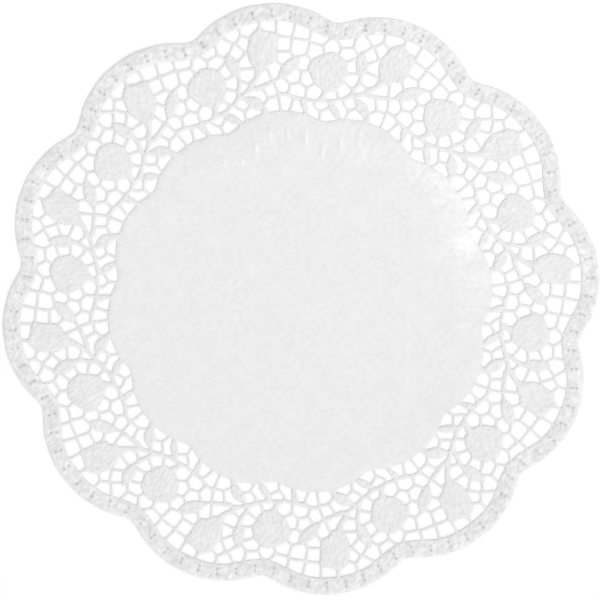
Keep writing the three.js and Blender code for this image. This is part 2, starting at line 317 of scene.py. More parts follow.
# Pleats in the rim of the plain middle, by angle from +X. A negative height is a groove.
PLEATS = rows(
    "angle radius to_angle to_radius half height",
    (118.2, 101.9, 116.9, 107.4, 0.9, 0.12),
    (118.0, 93.8, 117.5, 100.0, 0.9, 0.27),
    (112.0, 89.0, 111.5, 95.6, 0.9, 0.27),
    (105.8, 93.8, 105.1, 101.0, 0.9, 0.36),
    (104.7, 92.0, 105.0, 96.7, 0.9, -0.18),
    (99.7, 97.6, 100.0, 107.6, 0.9, 0.36),
    (97.5, 96.5, 97.2, 104.2, 0.9, -0.12),
    (95.4, 96.1, 95.1, 105.0, 0.9, -0.22),
    (93.7, 97.2, 94.0, 107.2, 0.9, 0.34),
    (90.4, 97.6, 91.1, 104.1, 0.9, -0.12),
    (87.5, 93.5, 88.1, 108.7, 0.8, 0.44),
    (83.5, 87.8, 83.6, 101.3, 1.1, -0.20),
    (81.5, 100.6, 82.2, 104.0, 1.0, 0.16),
    (81.4, 88.3, 81.5, 97.6, 0.9, 0.30),
    (80.3, 87.7, 80.8, 93.6, 0.9, -0.16),
    (76.7, 96.8, 77.8, 102.5, 0.9, -0.18),
    (75.6, 103.5, 76.3, 110.5, 0.9, 0.16),
    (74.9, 96.1, 76.4, 103.4, 1.2, 0.36),
    (72.9, 104.9, 74.2, 111.0, 0.9, 0.14),
    (71.4, 104.0, 72.2, 111.0, 0.9, -0.16),
    (71.0, 98.5, 71.8, 103.1, 1.0, -0.18),
    (69.5, 104.6, 71.3, 112.5, 0.9, 0.22),
    (69.2, 101.0, 70.9, 104.9, 1.4, 0.22),
    (65.3, 97.1, 66.4, 106.3, 1.2, -0.24),
    (63.6, 105.2, 64.9, 109.7, 0.9, 0.16),
    (63.6, 101.5, 65.0, 105.6, 0.9, 0.22),
    (60.2, 94.5, 61.5, 99.4, 1.0, 0.14),
    (59.7, 102.6, 60.8, 106.3, 1.0, -0.14),
    (57.9, 104.0, 59.2, 106.0, 1.2, 0.20),
    (57.3, 98.3, 59.0, 102.0, 1.2, 0.16),
    (46.4, 91.0, 46.4, 101.0, 1.0, -0.18),
    (39.6, 98.0, 39.6, 108.0, 1.0, 0.15),
    (26.0, 97.0, 26.0, 108.0, 1.2, -0.12),
    (14.0, 98.0, 14.0, 110.0, 1.2, -0.21),
    (10.0, 90.0, 10.0, 97.0, 0.9, 0.15),
    (-1.6, 97.0, -1.6, 110.0, 0.8, 0.15),
    (-7.0, 90.0, -7.0, 101.0, 0.9, 0.15),
)

# The part of the middle that has pleats, by angle from +X
PLEATED = SimpleNamespace(start=-14, end=122, inner=82, outer=112)

# How the sheet lies. The middle rests on the table, and the lace is a little off it.
MIDDLE_LIFT = 0.05
LACE_LIFT = 0.32
LIFT_START = 70
LIFT_END = 125
SWAY_LEAST = 0.3        # share of the sways that the middle has
SWAYS = rows(
    "direction length phase height",
    (20, 210, 0.4, 0.04),
    (75, 150, 2.1, 0.04),
    (130, 260, 4.0, 0.05),
    (165, 95, 1.2, 0.03),
    (50, 70, 5.3, 0.02),
)

# Tones, as shares of the plain paper's lightness: painted shade that makes bars, border and
# embossed motifs greyer than the plain middle. Then how strongly each zone is mottled
PAINTED_SHADE_TONES = {"bar": 0.965, "stem": 0.98, "leaf": 0.99, "flower": 0.985, "border": 0.97, "middle": 1.0}
MOTTLES = {"bar": 0.18, "stem": 0.12, "leaf": 0.17, "flower": 0.18, "border": 0.42, "middle": 0.12}
HIGHLIGHT_MOTTLE = 1.4        # for each unit of a painted highlight patch's light
HIGHLIGHT_CRINKLE = 4.0
# Painted shade in the pinholes and in the creases that join them
PIN_SHADE = 0.32
CREASE_SHADE = 0.45     # as a share of a pinhole's
PAINTED_CREST_HIGHLIGHT = 0.20      # painted highlight on the crests of pleats, for each millimetre of their height

# Widths over which the looks of a zone fade in from its edge
STEM_FADE = 1.0
LEAF_FADE = 1.2
FLOWER_FADE = 1.5
MIDDLE_FADE = 1.5
LEAF_STRIPES_FADE = 0.8
FLOWER_STRIPES_FADE = 1.2
CREPE_FADE = 3          # pleats start at the end of it
BORDER_REACH = 0.5      # the border's tone starts this far outside the border
BEAD_EDGE = 0.6         # its beads start this far inside it

# Fine creases in the rim of the middle, strongest on one side
CRINKLE_START = 88
CRINKLE_END = 106
CRINKLE_ANGLE = 55
CRINKLE_HALF = 75
CRINKLE_LEAST = 0.3

# Paper. Scales are for each metre, or for each millimetre of a UV map, and heights are those
# of a bump in millimetres.
PAPER_COLOUR = (0.82, 0.82, 0.82)
PAPER_ROUGHNESS = 0.7
ROUGHNESS_CHANGE = 0.2
PAPER_SPECULAR = 0.3
FIBRE_SCALE = 1500
FIBRE_HEIGHT = 0.05
CREPE_SCALE = 330
CREPE_HEIGHT = 0.14
CRINKLE_AROUND = 18     # for each radian
CRINKLE_OUTWARD = 100
CRINKLE_HEIGHT = 0.28
STRIPE_SCALE = (0.42, 0.28, 1)
STRIPE_HEIGHT = 0.53
BEAD_SCALE = 0.42
BEAD_HEIGHT = 0.55
MOTTLE_SCALE = 300
CLOUD_SCALE = 85
CLOUD_SHARE = 0.65      # of clouds in the mottling

# The photograph's view, from above and about 8 degrees off the vertical
LENS = 150
SENSOR = 36
CLIP_END = 20
CAMERA_PLACE = (0.0538, 0.2062, 1.4871)
CAMERA_TURN = (-7.81, 2.05, -0.10)

# Floor and lights
FLOOR_HALF = 5.0
FLOOR_COLOUR = (0.985, 0.985, 0.985, 1)
FLOOR_ROUGHNESS = 0.9
KEY_AZIMUTH = -45
KEY_ELEVATION = 22
KEY_SIZE = 36           # degrees
KEY_STRENGTH = 1.75
SIDE_PLACE = (0.37, 0.33, 0.38)
SIDE_SIZE = 0.4
SIDE_STRENGTH = 0.32
FILL_STRENGTH = 0.785


def polar(angle, radius):
    return radius * np.exp(1j * np.radians(angle))


def turned(points, angle):
    return points * np.exp(1j * np.radians(angle))


def wave_radius(wave, angle):
    """Radius of a scalloped line at an angle from the notch."""
    turn = np.radians(REPEATS * (angle - REPEAT_ANGLE / 2))
    aside = abs((angle + REPEAT_ANGLE / 2) % REPEAT_ANGLE - REPEAT_ANGLE / 2)
    waves = sum(height * np.cos(n * turn) for n, height in enumerate(wave.waves, start=1))
    return wave.mean + waves - wave.notch * np.exp(-aside / NOTCH_HALF)


def wave_inside(wave, points):
    """How far points are inside a scalloped line."""
    return wave_radius(wave, np.degrees(np.angle(points))) - np.abs(points)


def border_inside(points):
    """How far points are inside the border's inner line."""
    aside = np.abs(np.degrees(np.angle(points)) % REPEAT_ANGLE - REPEAT_ANGLE / 2)
    swell = SWELL * np.exp(-((aside - SWELL_ANGLE) / SWELL_HALF) ** 4)
    return wave_inside(EDGE_WAVE, points) - BORDER - swell


# The distances below are negative inside a motif and positive outside it

def bow(share, bend):
    """How far a bent line is to the left of its straight one."""
    return bend * 4 * share * (1 - share)


def bent_line(start, end, bend, points):
    """Share of the way along a bent line, distance to its left, and its length."""
    length = abs(end - start)
    local = (points - start) * np.conj(end - start) / length
    share = local.real / length
    on_line = np.clip(share, 0, 1)
    return share, local.imag - bow(on_line, bend), length


def leaf_ends(leaf):
    return polar(leaf.root_angle, leaf.root_radius), polar(leaf.tip_angle, leaf.tip_radius)


def leaf_distance(leaf, points):
    share, side, length = bent_line(*leaf_ends(leaf), leaf.bend, points)
    on_leaf = np.clip(share, 0, 1)
    swell = on_leaf ** (np.log(0.5) / np.log(leaf.widest))
    half = leaf.width / 2 * np.maximum(np.sin(np.pi * swell), 0) ** LEAF_POWER
    aside = np.abs(side) - half
    beyond = np.hypot((share - on_leaf) * length, np.maximum(aside, 0))
    return np.where(share == on_leaf, LEAF_SLANT * aside, beyond)


def path_distance(corners, points):
    """Distance to a line that runs straight from corner to corner."""
    distance = np.full(points.shape, np.inf)
    for start, end in zip(corners, corners[1:]):
        share, side, length = bent_line(start, end, 0, points)
        beyond = (share - np.clip(share, 0, 1)) * length
        distance = np.minimum(distance, np.hypot(beyond, side))
    return distance


def stem_distance(stem, points):
    corners = [polar(angle, radius) for angle, radius in stem.points]
    return path_distance(corners, points) - stem.width / 2


def flower_distance(flower, points):
    radii = [row.radius for row in flower.sections]
    radius = np.abs(points)
    angle = np.degrees(np.angle(points))
    start = np.interp(radius, radii, [row.start for row in flower.sections])
    end = np.interp(radius, radii, [row.end for row in flower.sections])
    aside = np.radians(np.maximum(start - angle, angle - end)) * radius
    beyond = np.maximum(radii[0] - radius, radius - radii[-1])
    outside = (aside > 0) & (beyond > 0)
    return np.where(outside, np.hypot(aside, beyond), np.maximum(aside, beyond))


def flower_place(flower, points):
    """Place in a flower as across + i along, in millimetres from its centre."""
    across = np.radians(np.degrees(np.angle(points)) - flower.angle) * np.abs(points)
    return across + 1j * (np.abs(points) - flower.radius)


# Motifs of one repeat, and opening sites of a repeat and of its two neighbours
MOTIFS = rows(
    "row distance",
    *[(row, leaf_distance) for row in LEAVES],
    *[(row, stem_distance) for row in STEMS],
    *[(row, flower_distance) for row in FLOWERS],
)
SITES = rows(
    "name turn reach place",
    *[(row.name, turn, row.reach, polar(row.angle + turn, row.radius))
      for turn in TURNS for row in OPENINGS],
)


def power(site, points):
    """Square of the distance to a site, less the square of its reach."""
    return np.abs(points - site.place) ** 2 - site.reach ** 2


def eye_of(name):
    """The point that an opening is looked at from."""
    row = next(row for row in EYES + OPENINGS if row.name == name)
    return polar(row.angle, row.radius)


def clearance_of(name):
    """A function that gives the distance from a point in an opening to the paper around it."""
    eye = eye_of(name)
    own = [site for site in SITES if site.name == name and site.turn == 0]
    others = [site for site in SITES if site not in own and abs(site.place - eye) < NEAR_SITE]
    motifs = [
        (motif, turn) for turn in TURNS for motif in MOTIFS
        if motif.distance(motif.row, turned(np.array([eye]), -turn))[0] < NEAR_MOTIF
    ]
    own_places = np.array([site.place for site in own])

    def clearance(points):
        powers = np.array([power(site, points) for site in own])
        place = own_places[powers.argmin(axis=0)]
        gaps = [
            (power(site, points) - powers.min(axis=0)) / (2 * np.abs(place - site.place)) - BAR / 2
            for site in others
        ]
        gaps += [motif.distance(motif.row, turned(points, -turn)) for motif, turn in motifs]
        gaps.append(border_inside(points))
        gaps.append(-wave_inside(MIDDLE_WAVE, points))
        least = np.min(gaps, axis=0)
        return least - CORNER * np.log(np.sum(np.exp((least - gaps) / CORNER), axis=0))

    return clearance


def evenly_spaced(loop, step, corner=0):
    """The closed loop again, with points about step apart. A corner draws points to it, as if
    the loop were longer there by the length corner for each radian of its turn."""
    closed = np.append(loop, loop[0])
    steps = np.diff(closed)
    turns = np.abs(np.angle(steps / np.roll(steps, 1)))
    lengths = np.abs(steps) + corner * (turns + np.roll(turns, -1)) / 2
    along = np.append(0, np.cumsum(lengths))
    places = np.linspace(0, along[-1], round(along[-1] / step), endpoint=False)
    return np.interp(places, along, closed.real) + 1j * np.interp(places, along, closed.imag)


def opening_outline(name):
    """Walks out from an opening's eye in every direction until it meets paper."""
    clearance = clearance_of(name)
    rays = np.exp(2j * np.pi * np.arange(RAYS) / RAYS)
    points = np.full(RAYS, eye_of(name))
    for _ in range(WALK_STEPS):
        points = points + WALK_SHARE * clearance(points) * rays
    return points


def outer_edge():
    """The scalloped edge of one repeat, from its notch."""
    angles = np.linspace(0, REPEAT_ANGLE, EDGE_POINTS, endpoint=False)
    return polar(angles, wave_radius(EDGE_WAVE, angles))


def every_repeat(points):
    return [turned(points, k * REPEAT_ANGLE) for k in range(REPEATS)]


def loop_normals(loop):
    """Unit vectors to the right of a loop's direction."""
    along = np.roll(loop, -1) - np.roll(loop, 1)
    return -1j * along / np.abs(along)


def folded(points):
    """The points turned back into the first repeat."""
    angle = np.degrees(np.angle(points)) % 360
    return turned(points, -REPEAT_ANGLE * np.floor(angle / REPEAT_ANGLE))


def search_tree(places):
    """A tree that finds the nearest of the places."""
    tree = KDTree(len(places))
    for i, place in enumerate(places):
        tree.insert((place.real, place.imag, 0), i)
    tree.balance()
    return tree


class CutEdges:
    """The cut edges around the first repeat, where any point of the sheet is looked up."""

    SAMPLE = 0.2        # between the places that are kept of an edge

    def __init__(self, outlines):
        edge = evenly_spaced(np.concatenate(every_repeat(outer_edge())), self.SAMPLE)
        angle = np.degrees(np.angle(edge))
        keep = (angle > -REPEAT_ANGLE / 2) & (angle < REPEAT_ANGLE * 1.5)
        places = [edge[keep]]
        inward = [-loop_normals(edge)[keep]]
        for outline in outlines:
            loop = evenly_spaced(outline, self.SAMPLE)
            for turn in TURNS:
                places.append(turned(loop, turn))
                inward.append(turned(loop_normals(loop), turn))
        self.places = np.concatenate(places)
        self.inward = np.concatenate(inward)
        self.tree = search_tree(self.places)

    def depth(self, points):
        """How deep in the paper points are, or less than 0 in an opening."""
        near = folded(points)
        found = [self.tree.find((p.real, p.imag, 0))[1] for p in near]
        away = near - self.places[found]
        side = (away * np.conj(self.inward[found])).real
        return np.abs(away) * np.sign(side)


def inside_of(table, points):
    """How far points are inside the nearest motif of a table, in this repeat or the next."""
    near = folded(points)
    motifs = [motif for motif in MOTIFS if motif.row in table]
    distances = [
        motif.distance(motif.row, turned(near, -turn)) for turn in TURNS for motif in motifs
    ]
    return -np.min(distances, axis=0)


def rise(inside, run):
    """Goes from 0 at an edge to 1 at a distance of run inside it, rounded at the top."""
    return 1 - (1 - np.clip(inside / run, 0, 1)) ** 2


def groove(distance):
    return np.exp(-(distance / LINE_HALF) ** 2)


def faded(share, ends):
    """1 along most of a line, and down to 0 at both ends of it."""
    return np.clip(ends * share, 0, 1) * np.clip(ends * (1 - share), 0, 1)


def petal_ends(line):
    return complex(line.across, line.along), complex(line.to_across, line.to_along)


def line_groove(start, end, bend, points):
    """A groove along a bent line, which fades at both ends."""
    share, side, _ = bent_line(start, end, bend, points)
    return groove(side) * faded(share, LINE_FADE)


def pin_ends(pin):
    """The two pinholes of a pair."""
    ends = ((pin.angle, pin.inset), (pin.to_angle, pin.to_inset))
    return [polar(angle, wave_radius(EDGE_WAVE, angle) - inset) for angle, inset in ends]


def pin_distance(points):
    near = folded(points)
    return np.min([np.abs(near - end) for pin in PINS for end in pin_ends(pin)], axis=0)


def in_pin(distance):
    """1 in a pinhole, and 0 away from it."""
    return np.exp(-(distance / PIN_HALF) ** 4)


def creases(points):
    """1 along the creases that join the pairs of pinholes, and 0 away from them."""
    near = folded(points)
    return np.max([groove(path_distance(pin_ends(pin), near)) for pin in PINS], axis=0)


def relief(points, depth):
    """Height of the embossing at points that are at a depth from the nearest cut."""
    near = folded(points)
    height = CUT_DROP * (rise(depth, CUT_ROUND) - 1)
    height += STEM_RISE * rise(inside_of(STEMS, points), STEM_RUN)
    height += LEAF_RISE * rise(inside_of(LEAVES, points), LEAF_RUN)
    height += FLOWER_RISE * rise(inside_of(FLOWERS, points), FLOWER_RUN)
    for turn in TURNS:
        here = turned(near, -turn)
        for leaf in LEAVES:
            height -= MIDRIB_DROP * line_groove(*leaf_ends(leaf), leaf.bend, here)
        for flower in FLOWERS:
            inside = np.clip(-flower_distance(flower, here), 0, 1)
            place = flower_place(flower, here)
            for line in flower.petals:
                height -= PETAL_DROP * inside * line_groove(*petal_ends(line), line.bend, place)
    in_border = np.minimum(wave_inside(EDGE_WAVE, points), -border_inside(points))
    height += BORDER_RISE * rise(in_border - BORDER_FLAT, BORDER_RUN)
    pins = pin_distance(points)
    height -= PIN_DROP * in_pin(pins)
    height += PIN_LIP * np.exp(-((pins - 2 * PIN_HALF) / PIN_HALF) ** 2)
    height -= CREASE_DROP * creases(points)
    return height


def pleats(points):
    """Height of the pleats in the rim of the plain middle."""
    height = np.zeros(points.shape)
    for pleat in PLEATS:
        start = polar(pleat.angle - FIRST_NOTCH, pleat.radius)
        end = polar(pleat.to_angle - FIRST_NOTCH, pleat.to_radius)
        share, side, _ = bent_line(start, end, 0, points)
        height += pleat.height * np.exp(-(side / pleat.half) ** 2) * faded(share, PLEAT_FADE)
    return height


def drape(points):
    """Height of the sheet's underside off the table."""
    lift = np.clip((np.abs(points) - LIFT_START) / (LIFT_END - LIFT_START), 0, 1)
    lift = lift * lift * (3 - 2 * lift)
    height = MIDDLE_LIFT + LACE_LIFT * lift
    share = SWAY_LEAST + (1 - SWAY_LEAST) * lift
    for sway in SWAYS:
        along = (points * np.exp(-1j * np.radians(sway.direction))).real
        turn = 2 * np.pi * along / sway.length + sway.phase
        height = height + sway.height * share * np.sin(turn)
    return np.maximum(height, 0)


def hex_grid(step):
    """Points of a triangular grid over the whole sheet."""
    reach = EDGE_WAVE.mean + EDGE_WAVE.waves[0]
    across = np.arange(-reach, reach, step)
    up = np.arange(-reach, reach, step * np.sqrt(0.75))
    x, y = np.meshgrid(across, up)
    x = x + step / 2 * (np.arange(len(up)) % 2)[:, None]
    return (x + 1j * y).ravel()


def beside_lines(start, end, bend, step):
    """Points along a bent line and at both sides of its groove."""
    length = abs(end - start)
    share = np.linspace(0, 1, max(2, round(length / step)) + 1)
    unit = (end - start) / length
    middle = start + unit * (share * length + 1j * bow(share, bend))
    aside = LINE_ASIDE * LINE_HALF
    return np.concatenate([middle + 1j * unit * shift for shift in (0, aside, -aside)])


def line_points():
    """Mesh points for one repeat along its midribs and petal lines."""
    found = [beside_lines(*leaf_ends(leaf), leaf.bend, LINE_STEP) for leaf in LEAVES]
    for flower in FLOWERS:
        for line in flower.petals:
            place = beside_lines(*petal_ends(line), line.bend, LINE_STEP)
            radius = flower.radius + place.imag
            found.append(polar(flower.angle + np.degrees(place.real / radius), radius))
    return np.concatenate(found)


def pin_points():
    """Mesh points for one repeat in its pinholes."""
    ring = np.exp(2j * np.pi * np.arange(PIN_RING) / PIN_RING)
    inner = PIN_HALF * PIN_INNER * ring
    outer = PIN_HALF * PIN_OUTER * ring * np.exp(1j * np.pi / PIN_RING)
    rings = np.concatenate([[0], inner, outer])
    ends = np.array([pin_ends(pin) for pin in PINS])
    return (ends.ravel()[:, None] + rings).ravel()


def in_pleats(points):
    """Whether points are in the part of the middle that has pleats."""
    angle = (np.degrees(np.angle(points)) + FIRST_NOTCH + 180) % 360 - 180
    radius = np.abs(points)
    in_angle = (angle > PLEATED.start) & (angle < PLEATED.end)
    return in_angle & (radius > PLEATED.inner) & (radius < PLEATED.outer)


def far_from(points, others, gap):
    """Those of the points that are further than gap from all the others."""
    tree = search_tree(others)
    distance = np.array([tree.find((p.real, p.imag, 0))[2] for p in points])
    return points[distance > gap]


def inner_points(loops, cuts):
    """Mesh points between the cuts: rows beside them, lines of the relief, and a grid."""
    edge = loops[0] - INSET * loop_normals(loops[0])
    around = [loop + INSET * loop_normals(loop) for loop in loops[1:]]
    beside = np.concatenate(around + [edge])
    beside = beside[cuts.depth(beside) > INSET_LEAST * INSET]
    lines = np.concatenate(every_repeat(np.concatenate([line_points(), pin_points()])))
    lines = lines[cuts.depth(lines) > INSET]
    lines = far_from(lines, beside, LINE_CLEAR)
    strong = np.concatenate([beside, lines])
    grids = []
    for zone, step in ZONE_STEPS.items():
        grid = hex_grid(step)
        grid = grid[wave_inside(EDGE_WAVE, grid) > INSET]
        grid = grid[zone_of(grid) == zone]
        grid = grid[cuts.depth(grid) > INSET + GRID_INSET]
        grids.append(far_from(grid, strong, GRID_CLEAR * step))
    return np.concatenate([strong] + grids)


def under_points(cuts):
    """Mesh points of the underside between the cuts."""
    grid = hex_grid(UNDER_STEP)
    grid = grid[wave_inside(EDGE_WAVE, grid) > UNDER_EDGE]
    return grid[cuts.depth(grid) > UNDER_INSET]


def zone_of(points):
    """Which mesh spacing points take."""
    middle = wave_inside(MIDDLE_WAVE, points) > 0
    border = border_inside(points) < 0
    flower = inside_of(FLOWERS, points) > 0
    zone = np.where(flower, "flower", "lace")
    zone = np.where(border, "border", zone)
    zone = np.where(middle, "middle", zone)
    return np.where(middle & in_pleats(points), "pleats", zone)


def triangulate(loops, inner):
    """Triangles of the paper as (points, faces, index of each point of the loops).
    The first loop is the sheet's own edge, the others go around openings."""
    corners = np.concatenate(loops + [inner])
    counts = [len(loop) for loop in loops]
    firsts = np.cumsum([0] + counts)
    edges = []
    for first, count in zip(firsts, counts):
        edges += [(first + i, first + (i + 1) % count) for i in range(count)]
    flat = [Vector((p.real, p.imag)) for p in corners]
    points, _, faces, sources, _, _ = delaunay_2d_cdt(flat, edges, [], 0, MERGE, True)
    source = np.array([min(known) for known in sources])
    index = np.zeros(firsts[-1], int)
    for place, known in enumerate(sources):
        index[[i for i in known if i < firsts[-1]]] = place
    points = np.array([complex(*p) for p in points])
    faces = np.array(faces)
    return points, faces[on_paper(source[faces], firsts)], index


def on_paper(corners, firsts):
    """Which triangles are paper. One with all its corners on one loop is inside that loop
    if they follow each other in the loop's own direction."""
    loop = np.searchsorted(firsts, corners, side="right")
    alone = (loop[:, 0] == loop[:, 1]) & (loop[:, 1] == loop[:, 2]) & (loop[:, 0] < len(firsts))
    back = np.sum(np.roll(corners, -1, axis=1) < corners, axis=1)
    inside = back == 1
    hole = loop[:, 0] > 1
    return ~alone | (inside ^ hole)


def wall_faces(loops, top_index, under_index):
    """The paper's thickness along every cut. The first loop is the sheet's own edge."""
    faces = []
    first = 0
    for number, loop in enumerate(loops):
        here = first + np.arange(len(loop))
        ahead = first + (np.arange(len(loop)) + 1) % len(loop)
        corners = [top_index[here], top_index[ahead], under_index[ahead], under_index[here]]
        walls = np.stack(corners, axis=1)
        faces.append(walls[:, ::-1] if number == 0 else walls)
        first += len(loop)
    return np.concatenate(faces)


def loop_area(loop):
    """Area inside a closed loop, in square millimetres."""
    return abs(np.sum((loop * np.conj(np.roll(loop, -1))).imag)) / 2


def stripe_place(points):
    """Where points are in the stripes of their motif, as u + iv, and how strong these are."""
    near = folded(points)
    place = np.zeros(points.shape, complex)
    mask = np.zeros(points.shape)
    for turn in TURNS:
        here = turned(near, -turn)
        for leaf in LEAVES:
            inside = -leaf_distance(leaf, here)
            share, side, length = bent_line(*leaf_ends(leaf), leaf.bend, here)
            veins = share * length - np.abs(side) + 1j * side
            place = np.where(inside > 0, veins, place)
            mask = np.where(inside > 0, rise(inside, LEAF_STRIPES_FADE), mask)
        for flower in FLOWERS:
            inside = -flower_distance(flower, here)
            place = np.where(inside > 0, flower_place(flower, here), place)
            mask = np.where(inside > 0, rise(inside, FLOWER_STRIPES_FADE), mask)
    return place, mask


def in_middle(points, fade):
    """0 at the edge of the plain middle, and 1 where it is fade or more inside it."""
    return np.clip(wave_inside(MIDDLE_WAVE, points) / fade, 0, 1)


def zone_shares(points):
    """How much of each zone is at the points, from 0 to 1."""
    return SimpleNamespace(
        stem=rise(inside_of(STEMS, points), STEM_FADE),
        leaf=rise(inside_of(LEAVES, points), LEAF_FADE),
        flower=rise(inside_of(FLOWERS, points), FLOWER_FADE),
        border=np.clip(BORDER_REACH - border_inside(points), 0, 1),
        middle=in_middle(points, MIDDLE_FADE),
    )


def blend(shares, bar, **zones):
    """A value for each point from the bars' value and those of the zones, the last on top."""
    value = np.full(shares.middle.shape, bar)
    for name, level in zones.items():
        value += (level - value) * getattr(shares, name)
    return value


def painted_light_patches(points):
    """How much painted highlight or painted shade the patches put on the paper."""
    light = np.zeros(points.shape)
    for patch in PAINTED_LIGHT_PATCHES:
        near = turned(points, FIRST_NOTCH - patch.angle)
        around = np.angle(near) * np.abs(near) / patch.around
        across = (np.abs(near) - patch.radius) / patch.across
        light += patch.light * np.exp(-around ** 2 - across ** 2)
    return light


def painted_light_tone(points, shares):
    """Share of the paper's lightness, as painted light: painted shade on the bars, border and
    motifs and in the pinholes and their creases, a painted highlight on the crests of pleats, and
    the painted highlight and shade of the patches.
    """
    # painted shade in the pinholes and their creases
    pins = np.maximum(in_pin(pin_distance(points)), CREASE_SHADE * creases(points))
    # painted highlight on the crests of pleats
    crest_highlight = PAINTED_CREST_HIGHLIGHT * np.maximum(pleats(points), 0)
    return blend(shares, **PAINTED_SHADE_TONES) * (1 - PIN_SHADE * pins) + crest_highlight + painted_light_patches(points)


def crinkle(points):
    """Strength of the fine creases that run outward in the rim of the middle."""
    angle = np.degrees(np.angle(turned(points, FIRST_NOTCH - CRINKLE_ANGLE)))
    rim = np.clip((np.abs(points) - CRINKLE_START) / (CRINKLE_END - CRINKLE_START), 0, 1)
    share = CRINKLE_LEAST + (1 - CRINKLE_LEAST) * np.exp(-(angle / CRINKLE_HALF) ** 4)
    return share * rim * in_middle(points, CREPE_FADE)


def add_values(mesh, name, values):
    layer = mesh.attributes.new(name, "FLOAT", "POINT")
    layer.data.foreach_set("value", values.astype(np.float32))


def add_map(mesh, name, values):
    """A UV map from one place, as u + iv, for each corner of the mesh."""
    layer = mesh.uv_layers.new(name=name)
    flat = np.stack([values.real, values.imag], axis=1)
    layer.data.foreach_set("uv", flat.astype(np.float32).ravel())


def border_place(points):
    """Along the border and in from the outline, in millimetres, as u + iv."""
    angle = np.degrees(np.angle(points)) % 360
    around = np.radians(angle) * EDGE_WAVE.mean
    return around + 1j * wave_inside(EDGE_WAVE, points)


def unwrapped(values, starts, corners, around):
    """Corner values that don't jump where a face crosses the start of the border."""
    values = values.copy()
    highest = np.maximum.reduceat(values.real, starts)
    jumps = np.repeat(highest, corners) - values.real > around / 2
    return values + around * jumps


def mesh_numbers(items, name):
    """A whole number of each face or corner of a mesh."""
    numbers = np.zeros(len(items), int)
    items.foreach_get(name, numbers)
    return numbers


def add_looks(mesh, flat):
    """The values and the UV maps that the paper's material reads."""
    stripes, stripe_mask = stripe_place(flat)
    shares = zone_shares(flat)
    # the painted highlight patches, which are also more mottled and crinkled
    painted_highlight = np.maximum(painted_light_patches(flat), 0)
    in_border = np.minimum(wave_inside(EDGE_WAVE, flat), -border_inside(flat))
    # painted shade and painted highlight, as a share of the paper's lightness
    add_values(mesh, "painted_light_tone", painted_light_tone(flat, shares))
    add_values(mesh, "mottle", blend(shares, **MOTTLES) + HIGHLIGHT_MOTTLE * painted_highlight)
    add_values(mesh, "stripes", stripe_mask)
    add_values(mesh, "beads", np.clip(in_border - BEAD_EDGE, 0, 1))
    add_values(mesh, "crepe", in_middle(flat, CREPE_FADE))
    add_values(mesh, "crinkle", crinkle(flat) + HIGHLIGHT_CRINKLE * painted_highlight)
    used = mesh_numbers(mesh.loops, "vertex_index")
    starts = mesh_numbers(mesh.polygons, "loop_start")
    corners = mesh_numbers(mesh.polygons, "loop_total")
    around = 2 * np.pi * EDGE_WAVE.mean
    add_map(mesh, "motif", stripes[used])
    add_map(mesh, "border", unwrapped(border_place(flat)[used], starts, corners, around))


def top_height(points, on_cuts, cuts):
    """Height of the embossed side off the table. Points with an index in on_cuts are on cuts."""
    depth = cuts.depth(points)
    depth[on_cuts] = 0
    plain = wave_inside(MIDDLE_WAVE, points) > CREPE_FADE
    height = PAPER + relief(points, depth) + np.where(plain, pleats(points), 0)
    return drape(points) + np.maximum(height, THINNEST)


def in_metres(flat, height):
    """Places in the shared frame, as lists."""
    here = turned(flat, FIRST_NOTCH)
    return (np.stack([here.real, here.imag, height], axis=1) * MM).tolist()


def make_sheet():
    """The closed mesh of the paper, in metres, and its flat area in square metres."""
    names = list(dict.fromkeys(row.name for row in OPENINGS))
    outlines = [opening_outline(name) for name in names]
    cuts = CutEdges(outlines)
    loops = [evenly_spaced(np.concatenate(every_repeat(outer_edge())), CUT_STEP)]
    for outline in outlines:
        loops += every_repeat(evenly_spaced(outline, OPENING_STEP, CORNER_DRAW))
    area = loop_area(loops[0]) - sum(loop_area(loop) for loop in loops[1:])

    top, top_faces, top_index = triangulate(loops, inner_points(loops, cuts))
    under, under_faces, under_index = triangulate(loops, under_points(cuts))
    flat = np.concatenate([top, under])
    height = np.concatenate([top_height(top, top_index, cuts), drape(under)])
    faces = top_faces.tolist()
    faces += (under_faces[:, ::-1] + len(top)).tolist()
    faces += wall_faces(loops, top_index, under_index + len(top)).tolist()
    mesh = bpy.data.meshes.new("paper_doily")
    mesh.from_pydata(in_metres(flat, height), [], faces)
    mesh.validate()
    mesh.polygons.foreach_set("use_smooth", np.ones(len(mesh.polygons), bool))
    mesh.set_sharp_from_angle(angle=np.radians(SMOOTH_ANGLE))
    add_looks(mesh, flat)
    return mesh, area * MM * MM


